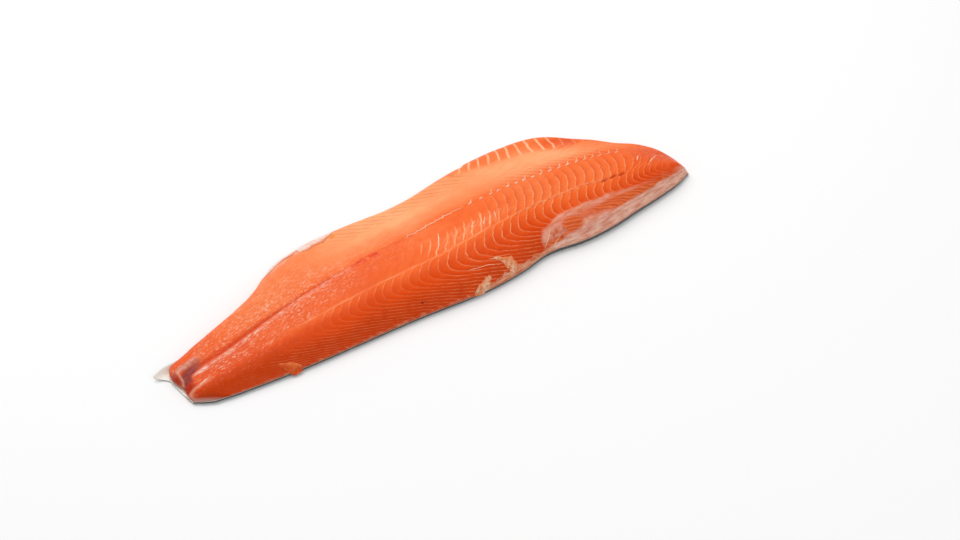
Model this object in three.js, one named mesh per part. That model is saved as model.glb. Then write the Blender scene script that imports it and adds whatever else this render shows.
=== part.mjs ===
// A skin-on side of salmon, lying skin down: one natural piece, so one solid in one mesh.
// Units are millimetres, +Z is up. The long axis runs along X, the head end at +X and the tail cut at -X.
// The back faces -Y and the belly +Y, so this is the fish's right-hand fillet, flesh side up.
// The origin is the centre of the bounding box's base, on the surface that the skin rests on.
import * as THREE from "three";

// ---- Driving dimensions -------------------------------------------------------------------------
// Each curve below is a list of [distance from the tail cut, value]; `across` values are measured
// from the straight line that the back nearly follows, towards the belly.

const LENGTH = 603; // tail cut to the tip at the nape

// The edge along the back, with the shallow notch left by the trimmed dorsal fin.
const backEdge = curve(
  [0, 14], [26, 5], [66, 1], [120, -1], [240, 0], [325, -2], [372, 4], [400, 11],
  [418, 11], [440, 8], [480, 10], [520, 18], [560, 26], [585, 33], [603, 42],
);

// The belly edge: narrow tail, swelling belly flap, then the slanting cut behind the gill collar.
const bellyEdge = curve(
  [0, 67], [30, 81], [60, 91], [85, 100], [105, 109], [122, 119], [137, 132], [152, 142], [172, 151],
  [205, 160], [250, 164], [300, 163], [330, 167], [360, 175], [390, 181], [420, 185], [460, 187],
  [495, 184], [512, 173], [526, 155], [540, 140], [555, 120], [565, 113], [582, 102], [594, 86], [603, 60],
);

// The line where the backbone was lifted out, between the back's muscle and the belly's.
const spineLine = curve(
  [0, 44], [40, 54], [116, 73], [176, 83], [246, 92], [326, 100], [410, 104], [500, 100], [560, 88], [603, 51],
);

// How far the belly wall would reach past the spine line if the collar cut had not shortened it.
const bellyReach = curve(
  [0, 23], [60, 37], [116, 46], [176, 69], [246, 72], [326, 66], [410, 80], [500, 84], [603, 84],
);

// Greatest thickness of each cross-section, at the muscle along the back.
const thickness = curve(
  [0, 11], [30, 14], [80, 18], [150, 22], [250, 26], [360, 29], [450, 30], [520, 28], [565, 24], [603, 13],
);

// 0 where the belly side is solid muscle, 1 where it is the thin wall of the belly cavity.
const cavity = curve([0, 0], [130, 0], [240, 0.9], [300, 1], [450, 1], [603, 0.8]);

// Height of the flesh as a share of the thickness, against the distance from the spine line
// as a share of the way to the back edge, or of the belly's reach.
const backProfile = curve([0, 0.88], [0.25, 0.97], [0.5, 1], [0.7, 0.89], [0.86, 0.68], [1, 0.42]);
const solidBellyProfile = curve([0, 0.88], [0.35, 0.91], [0.65, 0.78], [0.85, 0.58], [1, 0.4]);
const cavityBellyProfile = curve([0, 0.88], [0.3, 0.67], [0.6, 0.46], [0.85, 0.32], [1, 0.22]);

// The skin lies flat and only curls up at its edges.
const BACK_CURL = { width: 11, height: 3.5 };
const BELLY_CURL = { width: 7, height: 1.6 };

// How far in from each edge the flesh takes to round over to its full height.
const BACK_ROUND = 15;
const BELLY_ROUND = 6;

// The tail cut slants back by `slant` at the back edge; on the belly side a loose corner of skin
// reaches `reach` past it and stands `lift` above the surface.
const TAIL_CUT = { slant: 5, reach: 12, lift: 3, length: 26, start: 0.72 };

// Mesh density of the solid.
const STATIONS = 58;
const COLUMNS = 26;

// ---- Shape --------------------------------------------------------------------------------------

// A smooth function through a few points.
function curve(...points) {
  const places = points.map((point) => point[0]);
  const values = points.map((point) => point[1]);
  const spline = new THREE.CubicInterpolant(places, values, 1);
  return (place) => spline.evaluate(THREE.MathUtils.clamp(place, places[0], places.at(-1)))[0];
}

// 0 at an edge and 1 from `width` inwards, along a quarter circle.
function rounded(inwards, width) {
  const short = 1 - Math.min(inwards / width, 1);
  return Math.sqrt(1 - short * short);
}

// Height of the muscle at (x, y), before its edges are rounded over.
function muscleHeight(x, y) {
  const spine = spineLine(x);
  if (y < spine) return thickness(x) * backProfile((spine - y) / (spine - backEdge(x)));
  const share = (y - spine) / bellyReach(x);
  const thin = cavity(x);
  return thickness(x) * ((1 - thin) * solidBellyProfile(share) + thin * cavityBellyProfile(share));
}

// The edge height of the skin's curl, which is lower where the fillet is thin or narrow.
function curlOf(x, curl) {
  const width = Math.min(curl.width, (bellyEdge(x) - backEdge(x)) / 4);
  return { width, height: Math.min(curl.height, thickness(x) / 5) };
}

// The underside at (x, y): flat, and rising along a quarter ellipse at each edge.
function skinHeight(x, y) {
  const back = curlOf(x, BACK_CURL);
  const belly = curlOf(x, BELLY_CURL);
  const fromBack = back.height * (1 - rounded(y - backEdge(x), back.width));
  const fromBelly = belly.height * (1 - rounded(bellyEdge(x) - y, belly.width));
  return Math.max(fromBack, fromBelly);
}

// The flesh side at (x, y), rounded down to the skin at both edges and pressed thin on the tail flap.
function fleshHeight(x, y) {
  const base = skinHeight(x, y);
  const round = rounded(y - backEdge(x), BACK_ROUND) * rounded(bellyEdge(x) - y, BELLY_ROUND);
  return base + Math.max(muscleHeight(x, y) - base, 1) * round;
}

// 0 over most of the tail cut and 1 at its loose corner, for a share of the way from back to belly.
function flapShare(share) {
  return THREE.MathUtils.smoothstep(share, TAIL_CUT.start, 1) ** 2;
}

// How far the tail cut reaches past x = 0 at that share.
function tailReach(share) {
  return TAIL_CUT.reach * flapShare(share) - TAIL_CUT.slant * (1 - share) ** 2;
}

// One closed ring of points: along the underside from back to belly, then back over the flesh.
function ringAt(x) {
  const ring = [];
  const pull = 1 - THREE.MathUtils.smoothstep(x, 0, TAIL_CUT.length);
  const place = (column, heightAt) => {
    const even = column / COLUMNS;
    const share = 0.45 * even + 0.55 * (0.5 - 0.5 * Math.cos(Math.PI * even));
    const y = THREE.MathUtils.lerp(backEdge(x), bellyEdge(x), share);
    const lift = pull * TAIL_CUT.lift * flapShare(share);
    return new THREE.Vector3(x - pull * tailReach(share), y, heightAt(x, y) + lift);
  };
  for (let column = 0; column <= COLUMNS; column++) ring.push(place(column, skinHeight));
  for (let column = COLUMNS - 1; column > 0; column--) ring.push(place(column, fleshHeight));
  return ring;
}

// A closed body lofted through rings of equal length, each end closed by a strip between its two faces.
function loft(rings) {
  const size = rings[0].length;
  const triangles = [];
  for (let r = 0; r + 1 < rings.length; r++) {
    for (let k = 0; k < size; k++) {
      const a = r * size + k;
      const b = r * size + ((k + 1) % size);
      triangles.push(a, b, a + size, b, b + size, a + size);
    }
  }
  const strip = (first, flip) => {
    for (let k = 0; k < size / 2; k++) {
      const corners = [k, k + 1, size - k - 1, (size - k) % size].map((corner) => first + corner);
      const faces = [[corners[0], corners[2], corners[1]], [corners[0], corners[3], corners[2]]];
      for (const face of faces) {
        if (new Set(face).size === 3) triangles.push(...(flip ? face.reverse() : face));
      }
    }
  };
  strip(0, false);
  strip((rings.length - 1) * size, true);
  const geometry = new THREE.BufferGeometry().setFromPoints(rings.flat());
  geometry.setIndex(triangles);
  geometry.computeVertexNormals();
  return geometry;
}

// ---- The fillet ---------------------------------------------------------------------------------

const rings = [];
for (let station = 0; station <= STATIONS; station++) {
  // Stations crowd towards the head end, where the outline turns quickest.
  const even = station / STATIONS;
  rings.push(ringAt(LENGTH * THREE.MathUtils.lerp(even, Math.sin((even * Math.PI) / 2), 0.4)));
}

const filletGeometry = loft(rings);
filletGeometry.computeBoundingBox();
const middle = filletGeometry.boundingBox.getCenter(new THREE.Vector3());
filletGeometry.translate(-middle.x, -middle.y, -filletGeometry.boundingBox.min.z);

const fleshOrange = new THREE.MeshStandardMaterial({ color: 0xe9692f, roughness: 0.35, metalness: 0 });
const fillet = new THREE.Mesh(filletGeometry, fleshOrange);
fillet.name = "fillet";

const side = new THREE.Group();
side.add(fillet);

export default side;
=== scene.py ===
# A whole side of salmon, lying skin down: flesh, skin and the scraps left by the knife.
# Lengths are in metres in the finished meshes. While a piece is being shaped they are millimetres
# in the same frame: x from the tail to the head, y from the back to the belly, z up.
import math

import bpy
import numpy as np
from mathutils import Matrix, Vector
from mathutils.bvhtree import BVHTree


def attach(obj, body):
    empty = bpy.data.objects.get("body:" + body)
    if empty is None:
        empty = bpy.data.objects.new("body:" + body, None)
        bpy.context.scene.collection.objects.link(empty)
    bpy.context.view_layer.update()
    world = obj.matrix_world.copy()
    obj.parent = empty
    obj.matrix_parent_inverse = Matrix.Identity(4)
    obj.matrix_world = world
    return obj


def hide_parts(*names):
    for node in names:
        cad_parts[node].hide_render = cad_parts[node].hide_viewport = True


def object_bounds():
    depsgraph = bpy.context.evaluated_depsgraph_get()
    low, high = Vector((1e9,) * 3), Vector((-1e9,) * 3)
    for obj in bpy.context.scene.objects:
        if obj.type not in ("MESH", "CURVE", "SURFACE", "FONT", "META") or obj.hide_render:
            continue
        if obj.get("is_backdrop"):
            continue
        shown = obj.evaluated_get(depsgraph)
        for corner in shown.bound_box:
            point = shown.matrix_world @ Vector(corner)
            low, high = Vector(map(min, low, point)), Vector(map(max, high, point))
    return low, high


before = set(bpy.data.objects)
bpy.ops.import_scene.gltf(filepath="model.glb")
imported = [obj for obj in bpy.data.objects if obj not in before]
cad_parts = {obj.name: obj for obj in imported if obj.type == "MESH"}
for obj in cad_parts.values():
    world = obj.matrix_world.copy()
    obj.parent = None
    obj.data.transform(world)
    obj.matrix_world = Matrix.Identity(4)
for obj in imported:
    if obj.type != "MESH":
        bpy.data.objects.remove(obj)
CAD_BOX = [list(corner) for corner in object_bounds()]

bl_info = {
    "name": "Salmon fillet",
    "version": (1, 0, 0),
    "blender": (4, 5, 0),
    "location": "3D View > Sidebar > Fillet",
    "description": "Makes a whole side of salmon, flesh side up",
    "category": "Add Mesh",
}

MM = 0.001
BODY = "root"
NODE = "fillet"

# ---- Driving sizes, in millimetres ---------------------------------------------------------------

# The skin's and the flesh's plain cross-sections start this far from the tip of the loose corner of
# skin at the tail, and the flesh stops this far short of the nape.
SKIN_START = 13
FLESH_START = 16.5
FLESH_STOP = 0.8
# The loose corner: how high the skin is lifted there, and the length over which it dies away.
CORNER_LIFT = 5.2
CORNER_LENGTH = 28
# How far the flesh's belly edge stands in from the skin's at the tail cut.
TAIL_INSET = 4.5
# How far the outer face of the skin stands in from the solid's edge along the back.
BACK_INSET = 1.0
SCRAP_THICKNESS = 0.6
# The lateral line on the underside: where it ends each way, how far it lies from the seam towards
# the belly, its height, and the spacing of its points.
LATERAL_END = 284
LATERAL_OFFSET = 8
LATERAL_LEVEL = 0.1
LATERAL_SPACING = 4.0

# Density of the skin: its cross-sections, those of them at the loose corner, points across its
# flat face, and points round each curled edge.
SKIN_STATIONS = 520
CORNER_STATIONS = 40
SKIN_COLUMNS = 34
SKIN_TURNS = 7

# Cells of the lattice that smooth noise is drawn from, each way.
LATTICE = 97

# The floor's half width, and its level, which clears the raised scales under the skin.
FLOOR_HALF = 9000
FLOOR_LEVEL = -0.3
# The strength of the white sky, and the light panels, in metres: name, place and power in watts.
SKY_STRENGTH = 0.58
PANEL_SIZE = 2.0
PANELS = [("key", (0.1, 1.5, 2.0), 36), ("fill", (0.3, -2.0, 1.5), 11)]

# ---- Driving lines, in millimetres ---------------------------------------------------------------

# The spine line: where the backbone was lifted out, between the back's muscle and the belly's.
SPINE_LINE = [
    (-292, -51), (-265, -47), (-240, -44), (-215, -38), (-180, -28), (-142, -18), (-100, -10.5),
    (-60, -4), (0, 0.5), (40, 6), (70, 9), (100, 10.5), (150, 10), (200, 7.5), (235, 4), (260, -3),
    (285, -14), (306, -28),
]
# The seam along the middle of the back's muscle, where the pin bones were pulled.
SEAM_LINE = [
    (-292, -71), (-265, -65), (-230, -61), (-160, -54), (-110, -50), (-60, -47), (0, -46),
    (30, -42.5), (60, -38.5), (100, -34.5), (150, -33), (185, -32.5), (205, -36), (228, -37),
    (250, -34), (275, -35), (306, -40),
]
# Which number of septum crosses the seam at each place: the sheets of muscle are about 10 mm thick.
SEPTUM_COUNT = [(-300, -29), (-119, -10), (-16, 0), (41, 5), (98, 10), (193, 19), (250, 24.6), (306, 31.5)]

# How far headward a septum lies from its place on the seam. Between the seam and the spine line,
# against the share of the way, for the middle of the fish, the shoulder and the head.
LEAN_INNER_MIDDLE = [(0, 0), (0.17, 6), (0.3, 12), (0.47, 17), (0.62, 21), (0.8, 20), (1, 16.5)]
LEAN_INNER_SHOULDER = [(0, 0), (0.14, 5), (0.36, 12), (0.55, 15), (0.7, 18), (0.85, 19.5), (1, 20)]
LEAN_INNER_HEAD = [(0, 0), (0.22, 7), (0.51, 13), (0.76, 15), (0.9, 15), (1, 14)]
# The same between the seam and the edge along the back.
LEAN_OUTER = [
    (0, -6), (0.1, -10.5), (0.2, -14.8), (0.3, -18), (0.38, -19), (0.46, -17), (0.56, -11),
    (0.64, -3), (0.72, 8), (0.8, 22), (0.9, 43), (1, 68),
]
# The lean on the belly wall, which runs tailward from the spine line, for each millimetre past the
# line where it turns headward again.
BELLY_FAN_LEAN = [(60, 0.7), (100, 0.64), (130, 0.52), (150, 0.48), (175, 0.3), (205, 0.22), (240, 0.3)]
BELLY_TURN_LINE = [
    (-300, 90), (50, 90), (80, 78), (95, 73), (110, 70), (136, 66), (160, 62), (184, 56), (208, 46),
    (230, 42), (306, 30),
]

# How far the visible belly edge stands outside the plain solid's: it steps out at the first stripe.
BELLY_NICK = [
    (-320, 0), (-20, 0), (20, -2.5), (60, -3.5), (109, -3.6), (116, 1.8), (150, 2.2), (200, 1.4),
    (230, 0.5), (250, 0), (264, -2), (276, 0), (320, 0),
]
# The upper edge of the film of fat over the nape.
FAT_LINE = [
    (90, -84), (101, -72), (107, -65), (118, -60.5), (135, -57), (160, -54.5), (200, -54), (240, -55),
    (262, -54), (285, -49), (306, -42),
]
# Where the flesh ends at the tail cut, as x against y: two lobes with a notch between them.
TAIL_LINE = [
    (-90, -276), (-82, -284), (-76, -288.5), (-71, -291), (-63, -292), (-57, -289), (-50, -292.5),
    (-41, -294.5), (-32, -293.5), (-24, -289.5), (-14, -284),
]
# The height of the curled rim along the back, and the width of the pale strip of fat beside it.
BACK_RIM_HEIGHT = [
    (-300, 2.4), (-270, 3.2), (-180, 3.1), (60, 3.3), (120, 4.8), (220, 4.8), (285, 3.8), (306, 2.0),
]
STRIP_WIDTH = [(100, 0), (125, 3.0), (150, 7.5), (175, 8.5), (220, 7), (280, 6), (306, 5)]
# Bare islands in the film of fat: strength, centre, length and width, and turn in degrees.
ISLANDS = [
    (1, (143, -69.5), (8.5, 5.4), -6), (0.4, (166, -66), (16, 3.2), 5),
    (0.8, (205, -64.3), (24, 4.2), 3), (0.8, (240, -61), (30, 3.4), 9),
    (0.6, (272, -56.5), (22, 3.0), 16), (1, (122, -77.5), (14, 2.8), 0),
]
# Faint vessels in the fat, and where the pin bones were pulled along the seam: open slots at the
# head end, and closed slits before them, which are given by x alone.
VESSELS = [(119, -72), (123, -70), (127, -74), (131, -71)]
PIN_BONE_SLOTS = [(206, -37.2), (217.5, -36.6), (228, -37.4)]
PIN_BONE_SLITS = range(98, 200, 10)

# Where the septa end in white flecks along the spine line. Up to the zigzag's end they join up.
SPINE_FLECKS = [
    -10, 1, 13, 25, 36, 47, 59, 71, 85, 97, 107, 118, 129, 138.5, 149, 159, 170, 181, 191, 202,
    212, 221, 230, 240, 249,
]
ZIGZAG_END = 62
# Other threads: bright septum ends above the seam, a streak by the back edge, veins in the fat.
# Each is a path and its thickness.
LOOSE_THREADS = [
    ([(2, -38.5), (6, -33), (10, -27), (13, -22), (17, -15)], 0.9),
    ([(48, -28), (53, -23), (57, -21)], 0.7),
    ([(61, -31), (65, -26), (69, -21)], 0.8),
    ([(76, -29), (80, -23), (82, -18)], 0.7),
    ([(14, -75), (24, -76.5), (36, -77.5), (47, -81)], 0.5),
    ([(40, -72.5), (46, -74.5), (52, -79)], 0.5),
    ([(121, -63), (116, -68), (111, -73), (104, -77)], 0.45),
    ([(131, -72), (122, -75), (112, -78.5)], 0.4),
    ([(-266, -64), (-276, -66.5), (-286, -70)], 0.8),
    ([(262, -38), (272, -30), (284, -23)], 0.8),
    ([(256, -26), (260, -21), (264, -18)], 0.9),
]
# Scraps on the back edge: a path, half the width along it, how far the sides curl up, and whether
# the scrap is a pale one.
BACK_SCRAPS = [
    ([(9, -93.5), (18, -92), (26, -90), (32, -87)], [0.6, 2.4, 3.4, 1.6], [0.1, 0.3, 0.7, 1.4], True),
    ([(45, -72.5), (54, -78.5), (59.5, -83.5), (62, -88)],
     [0.6, 2.8, 6.0, 4.2], [0.1, 0.3, 0.5, 0.2], True),
    ([(-204, -83), (-198, -87.5), (-192, -90.5), (-184, -92)],
     [1.0, 3.2, 4.2, 1.6], [0.0, 0.2, 0.5, 0.8], False),
]
# Membranes on the belly edge, in the same form but all of one colour.
BELLY_MEMBRANES = [
    ([(-150, 40), (-136, 50), (-120, 57.5), (-103, 62)], [1.5, 5.0, 6.0, 4.0], [0.0, 0.1, 0.2, 0.1]),
    ([(-105, 53), (-95, 58), (-80, 62), (-61, 65)], [3.5, 9.0, 8.0, 2.0], [0.1, 0.2, 0.2, 0.1]),
]


# ---- Settings that a user may change -------------------------------------------------------------

def linear(code):
    """A colour given as a hexadecimal code, in the linear values that shaders read."""
    shares = [int(code[i:i + 2], 16) / 255 for i in (0, 2, 4)]
    return tuple(s / 12.92 if s <= 0.04045 else ((s + 0.055) / 1.055) ** 2.4 for s in shares)


# Colours of small marks, which are not settings. "wet" is a painted sheen on the wet flesh near the tail,
# and "silver" is the pale membrane along the lifted backbone, laid on in broken spots as painted glints.
MARKS = {name: linear(code) for name, code in {
    "dash": "fdbe90", "wet": "f6b4a0", "furrow": "d43c0c", "slot": "b02408", "red": "e2341a",
    "silver": "f4c2b0", "lobe": "b0240a", "membrane": "f6c0ae", "old_blood": "a04a42",
    "film": "c58272", "film_pale": "deaa9a", "sheet": "f2b89c", "gleam": "e8a48c",
    "gleam_pale": "fbe2d8", "fat_pale": "eeb09a", "fat_warm": "d9764c", "beige": "cf907a",
    "beige_pale": "f0cab6", "island": "ea7846", "island_band": "bc4418", "vessel": "a02c28",
    "dot": "f08a1c", "spot": "5a1010", "rim": "c8683c", "tail_rim": "dcc0b6",
    "scale_glint": "cfd4d6", "inner_pale": "f2ece4", "thread": "fab892", "scrap": "de5f26",
    "scrap_pale": "e27a48", "scrap_palest": "f2bc9a", "membrane_pale": "fbe0d4",
    "pore": "6d7276", "pore_pale": "9ea3a6",
}.items()}
MEMBRANE_ROOT = (0.9, 0.2, 0.05)


def colour(name, code, description):
    """A colour setting."""
    return bpy.props.FloatVectorProperty(
        name=name, description=description, subtype="COLOR", size=3, min=0, max=1, default=linear(code))


def length(name, millimetres, description):
    """A length setting."""
    return bpy.props.FloatProperty(
        name=name, description=description, default=millimetres * MM, min=0, unit="LENGTH")


class FilletFleshSettings(bpy.types.PropertyGroup):
    """Sizes and colours of the flesh."""

    stations: bpy.props.IntProperty(
        name="Stations", description="Cross-sections along the fillet", default=600)
    columns: bpy.props.IntProperty(
        name="Columns", description="Points across the flesh side", default=128)
    furrow_depth: length("Furrow depth", 1.5, "Depth of the furrow that the backbone left near the tail")
    flake_relief: length("Flake relief", 0.4, "How far the muscle sheets stand proud between the septa")
    back_low: colour("Low back", "c63e0e", "Flesh low on the back, next to the skin")
    back_mid: colour("Back", "e44e14", "Flesh on the slope of the back")
    bright: colour("Bright flesh", "f86c2a", "Flesh between the seam and the spine line")
    belly: colour("Belly flesh", "fa8e54", "Flesh of the belly wall")
    pale_band: colour("Pale band", "fbae76", "Fatty band along the belly wall")
    septum: colour("Septum", "fbb380", "Thin white sheets between the muscles")
    stripe: colour("Belly stripe", "fbbe90", "Wide septa at the edge of the belly flap")
    # This colour is also the painted shade on each flake beside the septa.
    deep_and_shade: colour("Deep flesh", "cc3408", "Flesh in furrows and beside the septa")
    blood: colour("Blood", "8a2c30", "Dark blood along the spine at the tail")
    # The glints near the tail are painted highlights in this colour.
    fleck: colour("Fleck", "fbc4aa", "Glints on the wet flesh near the tail")
    fat: colour("Fat", "d98a6c", "Film of fat over the nape")
    rim: colour("Rim", "dca686", "Thin layer between the flesh and the skin")


class FilletSkinSettings(bpy.types.PropertyGroup):
    """Sizes and colours of the skin."""

    thickness: length("Thickness", 0.9, "Thickness of the skin")
    scale_length: length("Scale length", 4.8, "Length of one scale along the fish")
    scale_width: length("Scale width", 4.2, "Width of one scale across the fish")
    scale_relief: length("Scale relief", 0.18, "How far the free edge of a scale stands up")
    back: colour("Back skin", "38322f", "Dark skin along the back")
    side: colour("Side skin", "a9adb0", "Silver skin of the side")
    belly: colour("Belly skin", "e4e2dc", "White skin of the belly")
    inner: colour("Inner skin", "f0dfcf", "Inner face of the skin, where no flesh covers it")
    spot: colour("Spots", "17191b", "Black spots on the back")


class FilletTrimSettings(bpy.types.PropertyGroup):
    """Sizes and colours of the small scraps and lines."""

    thread: length("Thread", 0.7, "Half the thickness of the white septum ends along the spine line")
    fleck: colour("Fleck", "ffdcc0", "White septum ends along the spine line")
    membrane: colour("Membrane", "f6b8a4", "Membrane at the roots of the trimmed belly fins")
    scrap: colour("Scrap", "cc440e", "Scraps at the roots of the trimmed back fins")


class FilletStageSettings(bpy.types.PropertyGroup):
    """The floor, the lights and the camera."""

    floor: colour("Floor", "fbfbfb", "Colour of the floor")
    lens: bpy.props.FloatProperty(name="Lens", description="Focal length in millimetres", default=80)
    azimuth: bpy.props.FloatProperty(
        name="Azimuth", description="Camera's direction round the fillet",
        subtype="ANGLE", default=math.radians(-33.28))
    elevation: bpy.props.FloatProperty(
        name="Elevation", description="Camera's height above the horizon",
        subtype="ANGLE", default=math.radians(40))
    distance: bpy.props.FloatProperty(
        name="Distance", description="From the camera to its target", unit="LENGTH", default=2.1308)
    target: bpy.props.FloatVectorProperty(
        name="Target", description="Point that the camera looks at",
        subtype="TRANSLATION", default=(0.03796, -0.05935, 0))


# ---- Small functions of numbers ------------------------------------------------------------------

def smoothed(row, weights):
    """A row of numbers smoothed by weights, and carried on past both ends to keep them in place."""
    padded = np.pad(row, len(weights) // 2, mode="reflect", reflect_type="odd")
    return np.convolve(padded, weights / weights.sum(), "valid")


def smooth_curve(points, blur=8):
    """A smooth function near a few points, with its corners rounded over `blur` millimetres."""
    points = np.array(points, float)
    reach = 2 * blur
    places = np.arange(points[0, 0] - reach, points[-1, 0] + reach + 1)
    first = (points[1, 1] - points[0, 1]) / (points[1, 0] - points[0, 0])
    last = (points[-1, 1] - points[-2, 1]) / (points[-1, 0] - points[-2, 0])
    values = np.interp(places, points[:, 0], points[:, 1])
    values += np.minimum(places - points[0, 0], 0) * first + np.maximum(places - points[-1, 0], 0) * last
    smooth = smoothed(values, np.hanning(2 * blur + 3))
    return lambda x: np.interp(x, places, smooth)


def share_curve(points):
    """A piecewise line over shares from 0 to 1, with its corners rounded."""
    points = np.array(points, float)
    places = np.linspace(0, 1, 101)
    smooth = smoothed(np.interp(places, points[:, 0], points[:, 1]), np.hanning(9))
    return lambda share: np.interp(share, places, smooth)


def plain_curve(points):
    """Straight lines through a few points."""
    places, values = zip(*points)
    return lambda x: np.interp(x, places, values)


def step(value, low, high):
    """0 below `low`, 1 above `high` and smooth between them."""
    share = np.clip((value - low) / (high - low), 0, 1)
    return share * share * (3 - 2 * share)


def window(value, start, end, soft):
    """1 between `start` and `end`, falling to 0 over `soft` on each side."""
    return step(value, start - soft, start + soft) * (1 - step(value, end - soft, end + soft))


def bell(distance, width):
    """1 at no distance, falling to 0 over a few times `width`."""
    return np.exp(-(distance / width) ** 2)


def turned(x, y, centre, size, turn):
    """How far (x, y) lies from a centre along and across a turned direction, in shares of a size."""
    c, s = math.cos(math.radians(turn)), math.sin(math.radians(turn))
    dx, dy = x - centre[0], y - centre[1]
    return (dx * c + dy * s) / size[0], (dy * c - dx * s) / size[1]


def blob(x, y, centre, size, turn=0):
    """A soft spot at `centre`, `size` long and wide, turned by some degrees."""
    along, across = turned(x, y, centre, size, turn)
    return np.exp(-along ** 4 - across ** 4)


def oval(x, y, centre, size, turn=0):
    """A softer spot, which starts to fall off from its centre."""
    along, across = turned(x, y, centre, size, turn)
    return np.clip(1.5 * np.exp(-0.7 * (along ** 2 + across ** 2) ** 1.3), 0, 1)


def lumps(x, y, cell, seed, octaves=1):
    """Smooth noise from about -1 to 1 over the plane, with lumps about `cell` across."""
    rng = np.random.default_rng(seed)
    total = 0
    for octave in range(octaves):
        lattice = rng.uniform(-1, 1, (LATTICE, LATTICE))
        u, v = x / cell + 31, y / cell + 17
        i, j = np.floor(u).astype(int), np.floor(v).astype(int)
        fu, fv = u - i, v - j
        fu, fv = fu * fu * (3 - 2 * fu), fv * fv * (3 - 2 * fv)
        corner = lambda di, dj: lattice[(i + di) % LATTICE, (j + dj) % LATTICE]
        low = corner(0, 0) * (1 - fu) + corner(1, 0) * fu
        high = corner(0, 1) * (1 - fu) + corner(1, 1) * fu
        total = total + (low * (1 - fv) + high * fv) * 0.5 ** octave
        cell /= 2
    return total


def blurred(grid, sigma, axis):
    """The grid smoothed along one axis, with its ends kept in place."""
    reach = int(3 * sigma) + 1
    weights = np.exp(-0.5 * (np.arange(-reach, reach + 1) / sigma) ** 2)
    return np.apply_along_axis(smoothed, axis, grid, weights)


spine_line = smooth_curve(SPINE_LINE)
seam_line = smooth_curve(SEAM_LINE)
septum_count = smooth_curve(SEPTUM_COUNT, 20)
belly_turn_line = smooth_curve(BELLY_TURN_LINE)
belly_fan_lean = smooth_curve(BELLY_FAN_LEAN)
lean_inner_middle = share_curve(LEAN_INNER_MIDDLE)
lean_inner_shoulder = share_curve(LEAN_INNER_SHOULDER)
lean_inner_head = share_curve(LEAN_INNER_HEAD)
lean_outer = share_curve(LEAN_OUTER)
belly_nick = smooth_curve(BELLY_NICK, 3)
fat_line = smooth_curve(FAT_LINE, 5)
tail_line = smooth_curve(TAIL_LINE, 3)
strip_width = plain_curve(STRIP_WIDTH)
back_rim_height = plain_curve(BACK_RIM_HEIGHT)


# ---- The frame's solid, measured -----------------------------------------------------------------

class Solid:
    """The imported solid: its outline from above and its heights."""

    def __init__(self, node):
        mesh = node.data
        mesh.calc_loop_triangles()
        self.points = np.array([v.co for v in mesh.vertices]) / MM
        self.triangles = np.array([t.vertices for t in mesh.loop_triangles])
        points = [Vector(point) for point in self.points]
        self.tree = BVHTree.FromPolygons(points, [list(corners) for corners in self.triangles])
        self.low, self.high = self.points.min(0), self.points.max(0)
        # The slices start past the slanting tail cut and stop just short of the nape.
        places = np.arange(math.ceil(self.low[0]) + 20.0, self.high[0] - 0.3, 1.0)
        edges = np.array([self.slice(x) for x in places])
        smooth = blurred(edges, 2.5, 0)
        self.places, self.backs, self.bellies = places, smooth[:, 0], smooth[:, 1]

    def slice(self, x):
        """The lowest and highest y where the solid crosses the plane at x."""
        found = []
        corners = self.points[self.triangles]
        for a, b in ((0, 1), (1, 2), (2, 0)):
            start, end = corners[:, a], corners[:, b]
            cut = (start[:, 0] - x) * (end[:, 0] - x) < 0
            share = (x - start[cut, 0]) / (end[cut, 0] - start[cut, 0])
            found.append(start[cut, 1] + share * (end[cut, 1] - start[cut, 1]))
        found = np.concatenate(found)
        return found.min(), found.max()

    def edge(self, x, edges):
        """An edge's y at x, carried on past the tail by its slope between two slices near there."""
        near, far = 2, 12
        slope = (edges[far] - edges[near]) / (self.places[far] - self.places[near])
        return np.interp(x, self.places, edges) + np.minimum(x - self.places[0], 0) * slope

    def back(self, x):
        """The edge along the back, where the outer face of the skin stands."""
        return self.edge(x, self.backs) + BACK_INSET

    def belly(self, x):
        """The edge along the belly, with the step where the belly flap was nicked."""
        return self.edge(x, self.bellies) + belly_nick(x)

    def top(self, x, y):
        """Height of the flesh side at (x, y)."""
        hit = self.tree.ray_cast(Vector((x, y, 500)), Vector((0, 0, -1)))
        return hit[0].z if hit[0] else self.tree.find_nearest(Vector((x, y, 0)))[0].z

    def tail_end(self, y):
        """How far tailward the solid reaches at y."""
        heights = np.arange(0.3, 9, 0.3)
        hits = [self.tree.ray_cast(Vector((-900, y, z)), Vector((1, 0, 0)))[0] for z in heights]
        return min([h.x for h in hits if h] or [self.low[0] + SKIN_START])


solid = Solid(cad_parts[NODE])


# ---- Where things lie on the flesh ---------------------------------------------------------------
# The numbers in these functions are places and distances in millimetres in the frame, shares of the
# way between two lines, and strengths from 0 to 1.

class FleshPlaces:
    """Points on the flesh side, with how far each lies from the lines that its marks follow."""

    def __init__(self, x, y, back, belly):
        self.x, self.y = x, y
        spine, seam = spine_line(x), seam_line(x)
        self.inside, self.past_seam, self.past_turn = y - spine, y - seam, y - belly_turn_line(x)
        # Shares of the way from the seam to the spine line, and from the seam to the back edge.
        self.inner = np.clip((y - seam) / (spine - seam), 0, 1)
        self.outer = np.clip((seam - y) / (seam - back), 0, 1)
        self.from_back, self.from_belly = y - back, belly - y
        self.head = step(x + 0.4 * (y + 30), 245, 280)
        wave = 1.3 * lumps(x, y, 10, 21, 2)
        fat = step(fat_line(x) + wave - y, -1.0, 3.0) * step(x + wave, 101, 107)
        self.fat = fat * (1 - 0.6 * step(x, 232, 275) * step(self.from_back, 7, 11))


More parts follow.
